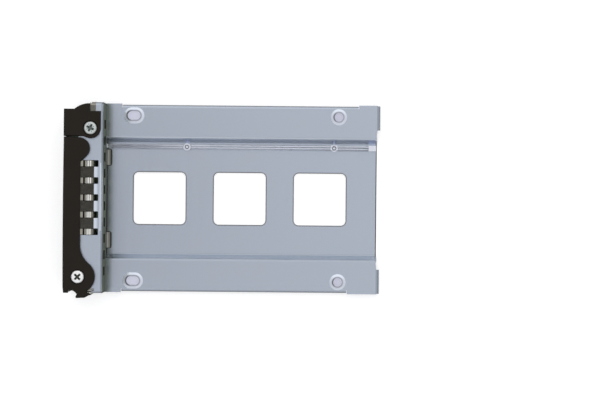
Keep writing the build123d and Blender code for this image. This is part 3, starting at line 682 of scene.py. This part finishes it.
# %% [markdown]
# ## Black mouldings
# Lever and latch are moulded in black glass-filled nylon. Its black is warm, and the mould was
# spark-eroded, so the skin is a fine even grain that scatters the light and shows only a dull
# sheen. The grain could be cut into the mesh, but it is far finer than any mesh, so it goes
# into the relief and the roughness. A few shallow rings run round each pivot, where the screw's
# head has turned on the moulding.

# %% Rings round a pivot
def pivot_of(name):
    """The middle of a piece's box, which for a post or a screw is on its axis."""
    low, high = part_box(name)
    return (low + high) / 2


def distance_round(finish, centre):
    """How far a place is from an upright axis."""
    return length_of(finish, place_on(finish, (1, 1, 0), centre))


def rings_round(finish, centre, pitch):
    """Rings round an upright axis, as a wave from 0 to 1."""
    turns = math_of(finish, "MULTIPLY", distance_round(finish, centre), 2 * pi / pitch)
    return spread(finish, math_of(finish, "SINE", turns), 0, 1, -1, 1)


print("lever's pivot, mm:", [round(part / MM, 2) for part in pivot_of("lever_post")])

# %% Black mouldings
black = (0.0090, 0.0070, 0.0052)
black_sheen, black_sheen_level = (1.0, 0.90, 0.78), 0.25
black_clouds, black_grain = (130, 3), (5200, 3)
black_low, black_high = 0.7, 1.25
black_gloss = (0.44, 0.58)
turning_pitch, turning_share = 0.9 * MM, 0.25
black_depth = 0.012 * MM


def black_finish(name, pivot):
    """Warm black with a moulded grain, and faint rings round a pivot."""
    finish, shader = new_finish(name, black, metallic=0.0, roughness=0.5)
    shader.inputs["Specular IOR Level"].default_value = black_sheen_level
    shader.inputs["Specular Tint"].default_value = (*black_sheen, 1)
    clouds = cloud(finish, place_on(finish), *black_clouds)
    tone = two_colours(finish, clouds, toned(black, black_low), toned(black, black_high))
    join(finish, tone, shader.inputs["Base Color"])
    grain = cloud(finish, place_on(finish), *black_grain)
    join(finish, spread(finish, grain, *black_gloss), shader.inputs["Roughness"])
    rings = math_of(finish, "MULTIPLY", rings_round(finish, pivot, turning_pitch), turning_share)
    relief(finish, shader, math_of(finish, "ADD", rings, grain), black_depth)
    return finish


dress(black_finish("black_lever_moulding", pivot_of("lever_post")), "lever")
dress(black_finish("black_latch_moulding", pivot_of("latch_post")), "latch")

# %% [markdown]
# ## Clear light pipe
# A clear pipe carries the backplane's status lamp to the front. It lies on the sheet, so most of
# what is seen through it is the sheet itself. Its corners catch the light as bright lines, its
# two bosses as rings with a dark ring inside, and its end block shines whole. True refraction
# draws such lines too, but softer, and not quite where the moulding's corners are. So the pipe is
# mostly see-through, and the bright and dark lines are painted highlights and painted dark lines,
# bands across it that are more solid than the rest.

# %% Lines along the pipe
pipe_low, pipe_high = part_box("light_pipe")
pipe_y = (pipe_low.y + pipe_high.y) / 2
bright_lines = ((0.52 * MM, 0.16 * MM), (-0.27 * MM, 0.16 * MM))
dark_lines = ((0.13 * MM, 0.07 * MM), (1.12 * MM, 0.07 * MM), (-0.88 * MM, 0.07 * MM))
glow_x = (-25 * MM, 2 * MM)
front_bright, front_dark, line_softness = 0.95, 0.12, 0.5
front_band, front_band_half = 0.33 * MM, (0.5 * MM, 0.7 * MM)
front_band_end, front_band_share = -48 * MM, 0.5


def any_line(finish, across, lines):
    """1 on any of the lines that run along the pipe, with soft edges."""
    bands = []
    for middle, half in lines:
        soft_half = (half * (1 - line_softness), half * (1 + line_softness))
        bands.append(band_share(finish, across, middle, soft_half))
    return math_of(finish, "MAXIMUM", *bands)


def lines_on_pipe(finish, along, across):
    """The shares of the bright and of the dark lines, both stronger toward the rear."""
    bright = any_line(finish, across, bright_lines)
    bright = math_of(finish, "MULTIPLY", bright, spread(finish, along, front_bright, 1, *glow_x))
    in_front = math_of(finish, "LESS_THAN", along, front_band_end)
    front = band_share(finish, across, front_band, front_band_half)
    front = math_of(finish, "MULTIPLY", front, in_front, front_band_share)
    dark = any_line(finish, across, dark_lines)
    dark = math_of(finish, "MULTIPLY", dark, spread(finish, along, front_dark, 1, *glow_x))
    return math_of(finish, "MAXIMUM", bright, front), dark


print(f"pipe along y = {pipe_y / MM:.2f} mm")

# %% Bosses and end block of the pipe
end_block_x = 11.2 * MM
boss_places = (-1.7 * MM, -56.8 * MM)
# Painted bright and dark rings on the bosses.
boss_ring, boss_ring_half = 1.12 * MM, (0.22 * MM, 0.40 * MM)
boss_dark_ring, boss_dark_ring_half, boss_dark_share = 0.62 * MM, (0.04 * MM, 0.18 * MM), 0.35
boss_core = 0.42 * MM


def with_bosses(finish, bright):
    """The bright share with both bosses' painted rings drawn in, and the share of the painted dark ring in
    each.
    """
    boss_dark_rings = []
    for place in boss_places:
        from_boss = distance_round(finish, (place, pipe_y, 0))
        outside = math_of(finish, "GREATER_THAN", from_boss, boss_ring + boss_ring_half[1])
        ring = band_share(finish, from_boss, boss_ring, boss_ring_half)
        core = math_of(finish, "LESS_THAN", from_boss, boss_core)
        bright = math_of(finish, "MULTIPLY", bright, outside)
        bright = math_of(finish, "MAXIMUM", bright, ring, core)
        boss_dark_rings.append(band_share(finish, from_boss, boss_dark_ring, boss_dark_ring_half))
    return bright, math_of(finish, "MAXIMUM", *boss_dark_rings)


print("bosses at x, mm:", [round(place / MM, 1) for place in boss_places])

# %% Clear light pipe
clear_tint, edge_bright, edge_dark = (0.82, 0.88, 1.0), (0.88, 0.90, 1.0), (0.22, 0.25, 0.29)
clear_transmission, clear_bending = 0.2, 1.49
clear_solid, edge_solid, edge_metallic = 0.10, 0.90, 0.8
pipe_streaks, streak_stretch = (2500, 2), (0.1, 1, 1)
pipe_gloss, pipe_depth = (0.04, 0.14), 0.0006 * MM


def clear_finish():
    """See-through plastic that is more solid on its painted bright and dark lines, bosses and end block."""
    finish, shader = new_finish("clear_pipe", clear_tint, metallic=0.0, roughness=0.06)
    shader.inputs["Transmission Weight"].default_value = clear_transmission
    shader.inputs["IOR"].default_value = clear_bending
    along, y, _ = parts_of(finish)
    bright, dark = lines_on_pipe(finish, along, math_of(finish, "SUBTRACT", y, pipe_y))
    bright, boss_dark = with_bosses(finish, bright)
    block = math_of(finish, "GREATER_THAN", along, end_block_x)
    bright = math_of(finish, "MAXIMUM", bright, block)
    dark = math_of(finish, "MULTIPLY", dark, math_of(finish, "SUBTRACT", 1.0, block))
    dark = math_of(finish, "MAXIMUM", dark, math_of(finish, "MULTIPLY", boss_dark, boss_dark_share))
    tint = blend(finish, bright, clear_tint, edge_bright)
    join(finish, blend(finish, dark, tint, edge_dark), shader.inputs["Base Color"])
    edge = math_of(finish, "MAXIMUM", bright, dark)
    join(finish, spread(finish, edge, clear_solid, edge_solid, 0, 1), shader.inputs["Alpha"])
    join(finish, spread(finish, bright, 0, edge_metallic, 0, 1), shader.inputs["Metallic"])
    streaks = cloud(finish, place_on(finish, streak_stretch), *pipe_streaks)
    join(finish, spread(finish, streaks, *pipe_gloss), shader.inputs["Roughness"])
    relief(finish, shader, streaks, pipe_depth)
    return finish


dress(clear_finish(), "light_pipe")

# %% [markdown]
# ## Screws
# The lever's screw is plated bright and the latch's a little duller, and each head has the fine
# circles that a polishing wheel leaves. The cross in a head is cut in the solid, but a plated
# hollow would mirror the room as brightly as the head does. In a real one little light gets in,
# so the hollow has painted shade: the tint darkens with the depth below the head, near the
# screw's axis only.

# %% Screws
plated = {"lever": (1.0, 1.0, 1.0), "latch": (0.64, 0.68, 0.67)}
# Painted shade in each screw's cross.
cross_shade = {"lever": (0.05, 0.06, 0.045), "latch": (0.13, 0.16, 0.155)}
circle_pitch = 0.16 * MM
cross_depth, cross_reach = (0.06 * MM, 0.30 * MM), 1.6 * MM
plated_gloss, plated_depth = (0.30, 0.38), 0.0015 * MM


def screw_finish(name, plate, cross, seat, head_z):
    """Plating with polishing circles, and painted shade down in the cross."""
    finish, shader = new_finish(name, plate, metallic=0.7, roughness=0.34)
    _, _, up = parts_of(finish)
    cross_shade_share = spread(finish, away_from(finish, up, head_z), 0, 1, *cross_depth)
    in_cross = math_of(finish, "LESS_THAN", distance_round(finish, seat), cross_reach)
    cross_shade_share = math_of(finish, "MULTIPLY", cross_shade_share, in_cross)
    join(finish, two_colours(finish, cross_shade_share, plate, cross), shader.inputs["Base Color"])
    circles = rings_round(finish, seat, circle_pitch)
    join(finish, spread(finish, circles, *plated_gloss, 0, 1), shader.inputs["Roughness"])
    relief(finish, shader, circles, plated_depth)
    return finish


for pivot in ("lever", "latch"):
    for end in ("top", "bottom"):
        name = f"{pivot}_screw_{end}"
        low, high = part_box(name)
        head_z = high.z if end == "top" else low.z
        place = pivot_of(name)
        dress(screw_finish(f"plated_{name}", plated[pivot], cross_shade[pivot], place, head_z), name)

# %% [markdown]
# ## Posts, washers, rivets and springs
# The posts, washers and rivets are turned steel with the tool's marks round them, and the
# springs are drawn wire with a fine pitted skin. Little of them shows, between the plates and
# in the gaps, so both are plain metals whose marks vary the gloss and the relief.

# %% Turned steel
turned, turned_low = (0.52, 0.52, 0.53), 0.9
turning_marks, turning_stretch = (8000, 2), (0.05, 0.05, 1.0)
turned_gloss, turned_depth = (0.24, 0.38), 0.001 * MM


def turned_finish():
    """Steel with the marks of the turning tool."""
    finish, shader = new_finish("turned_steel", turned, metallic=1.0, roughness=0.3)
    marks = cloud(finish, place_on(finish, turning_stretch), *turning_marks)
    join(finish, two_colours(finish, marks, toned(turned, turned_low), turned), shader.inputs["Base Color"])
    join(finish, spread(finish, marks, *turned_gloss), shader.inputs["Roughness"])
    relief(finish, shader, marks, turned_depth)
    return finish


dress(turned_finish(), "lever_post", "latch_post", "lever_washers", "latch_washers", "frame_rivets")

# %% Spring wire
wire_steel = (0.42, 0.42, 0.43)
wire_skin, wire_gloss, wire_depth = (6000, 3), (0.22, 0.36), 0.001 * MM


def wire_finish():
    """Drawn wire with a finely pitted skin."""
    finish, shader = new_finish("spring_wire", wire_steel, metallic=1.0, roughness=0.3)
    drawn = cloud(finish, place_on(finish), *wire_skin)
    join(finish, spread(finish, drawn, *wire_gloss), shader.inputs["Roughness"])
    relief(finish, shader, drawn, wire_depth)
    return finish


dress(wire_finish(), "lever_spring", "latch_spring")

# %% [markdown]
# ## Table
# The table is plain white. It has to look white from above, yet hold the caddy's soft shadow. A
# stronger lamp would whiten it but bleach the caddy as well, so it is a matte surface that adds
# a little light of its own, for the camera and for what metal and plastic mirror or let
# through. Beneath the sheet there is no such light and the table is darker, as it is in the
# shade of a real tray. In the windows it is white, and in the screw holes nearly so, where its
# light has a painted lavender tint for the light that the sheet throws down into them.

# %% Where the table is open
glow, hole_glow = 0.58, 0.54
shaded_x, shaded_y = (-96 * MM, 14.4 * MM), (-34.0 * MM, 34.0 * MM)
window_play, hole_reach = 0.45 * MM, 2.4 * MM


def by_hole_share(finish):
    """1 under the screw holes, 0 elsewhere."""
    return math_of(finish, "LESS_THAN", distance_to_seat(finish), hole_reach)


def open_table_share(finish):
    """How much of the glow the table has: all outside the tray and in its windows, some under
    the screw holes, none in the shade beneath the sheet."""
    x, y, _ = parts_of(finish)
    half = window_half + window_play
    shaded = inside_span(finish, x, *shaded_x)
    shaded = math_of(finish, "MULTIPLY", shaded, inside_span(finish, y, *shaded_y))
    columns = (inside_span(finish, x, place - half, place + half) for place in window_places)
    columns = math_of(finish, "ADD", *columns)
    in_window = math_of(finish, "MULTIPLY", inside_span(finish, y, -half, half), columns)
    in_hole = math_of(finish, "MULTIPLY", by_hole_share(finish), hole_glow / glow)
    beside = math_of(finish, "SUBTRACT", 1.0, shaded)
    return math_of(finish, "MAXIMUM", beside, in_window, in_hole)


print(f"table's glow {glow}, and {hole_glow} under the screw holes")

# %% Table
table_size = 3.0
table_low, table_high, table_shade = (0.69, 0.69, 0.70), (0.71, 0.71, 0.72), (0.10, 0.10, 0.095)
# The painted lavender tint of bounced light under the screw holes.
hole_bounce_tint = (0.80, 0.815, 1.0)
table_specks = (300, 2)


def table_finish():
    """Matte white that adds some light of its own where the table is open."""
    finish, shader = new_finish("table_white", table_high, metallic=0.0, roughness=0.9)
    white = two_colours(finish, cloud(finish, place_on(finish), *table_specks), table_low, table_high)
    open_share = open_table_share(finish)
    join(finish, blend(finish, open_share, table_shade, white), shader.inputs["Base Color"])
    light = add_node(finish, "ShaderNodeLightPath").outputs
    kinds = ("Is Camera Ray", "Is Glossy Ray", "Is Transmission Ray")
    seen = math_of(finish, "MAXIMUM", *(light[kind] for kind in kinds))
    strength = math_of(finish, "MULTIPLY", seen, open_share, glow)
    join(finish, strength, shader.inputs["Emission Strength"])
    colour = blend(finish, by_hole_share(finish), plain_tint, hole_bounce_tint)
    join(finish, colour, shader.inputs["Emission Color"])
    return finish


def make_table():
    """A flat square under the caddy, as high as its lowest point."""
    mesh = bpy.data.meshes.new("table")
    shape = bmesh.new()
    bmesh.ops.create_grid(shape, x_segments=1, y_segments=1, size=table_size / 2)
    shape.to_mesh(mesh)
    shape.free()
    mesh.materials.append(table_finish())
    table = bpy.data.objects.new("table", mesh)
    table.location = (0, 0, cad_box[0][2])
    bpy.context.scene.collection.objects.link(table)
    return table


table = make_table()
print("table at z =", round(table.location.z / MM, 2), "mm")

# %% [markdown]
# ## Light in the room
# The caddy was lit softly from all round. Lamps with hard edges would show in the stainless
# strip and the screws, so there are none: the room itself is the light, by direction. It is
# brighter toward the latch side, as beside a window, and darker toward both ends. A dim band
# near the floor gives upright faces their depth. Beside the zenith there is one small dark
# patch, which stands for the camera: mirrors need something to show.

# %% Levels of the room
room_dim, room_bright, room_sides = 0.68, 1.13, (-0.9, 0.9)
low_band, low_level = (0.02, 0.28), 0.35
low_tint, high_tint = (0.93, 1.0, 0.86), (0.985, 0.99, 1.0)
ends_band, front_level, rear_level = (0.50, 0.95), 0.40, 0.60
camera_shade_at, camera_shade_size = (-0.130, 0.004), (0.052, 0.058)
camera_shade_level, camera_shade_edge = 0.10, (0.8, 1.2)
upper_room = 0.5


def camera_shade(world, toward_x, toward_y, up):
    """0 in the dark patch beside the zenith, 1 around it."""
    scaled = []
    for part, place, size in zip((toward_x, toward_y), camera_shade_at, camera_shade_size):
        scaled.append(math_of(world, "DIVIDE", math_of(world, "SUBTRACT", part, place), size))
    around = spread(world, length_in_plan(world, *scaled), 0, 1, *camera_shade_edge)
    return math_of(world, "MAXIMUM", around, math_of(world, "LESS_THAN", up, upper_room))


def end_level(world, toward_x):
    """How bright the room is toward its two ends, where -X is the front and +X the rear."""
    front = spread(world, math_of(world, "MULTIPLY", toward_x, -1), 1, front_level, *ends_band)
    return math_of(world, "MULTIPLY", front, spread(world, toward_x, 1, rear_level, *ends_band))


print(f"room: {room_dim} to {room_bright} across, {low_level} of that near the floor")

# %% Light in the room
def light_the_room():
    """The room's light by direction: its sides, its floor, the camera's patch and its ends."""
    world = bpy.data.worlds.new("room")
    world.use_nodes = True
    bpy.context.scene.world = world
    background = world.node_tree.nodes["Background"]
    direction = add_node(world, "ShaderNodeTexCoord").outputs["Generated"]
    toward_x, toward_y, up = parts_of(world, direction)
    sides = spread(world, toward_y, room_dim, room_bright, *room_sides)
    rise = spread(world, up, 0, 1, *low_band)
    near_floor = spread(world, rise, low_level, 1, 0, 1)
    shade = spread(world, camera_shade(world, toward_x, toward_y, up), camera_shade_level, 1, 0, 1)
    level = math_of(world, "MULTIPLY", sides, near_floor, shade, end_level(world, toward_x))
    join(world, blend(world, rise, low_tint, high_tint), background.inputs["Color"])
    join(world, level, background.inputs["Strength"])
    return world


print("light:", light_the_room().name)

# %% [markdown]
# ## Sizes, and the end
# The finishes add nothing to the model's size. The model's own box is written down.

# %% Write the sizes
print("size of the model, mm:", [round((b - a) * 1000, 2) for a, b in zip(*cad_box)])
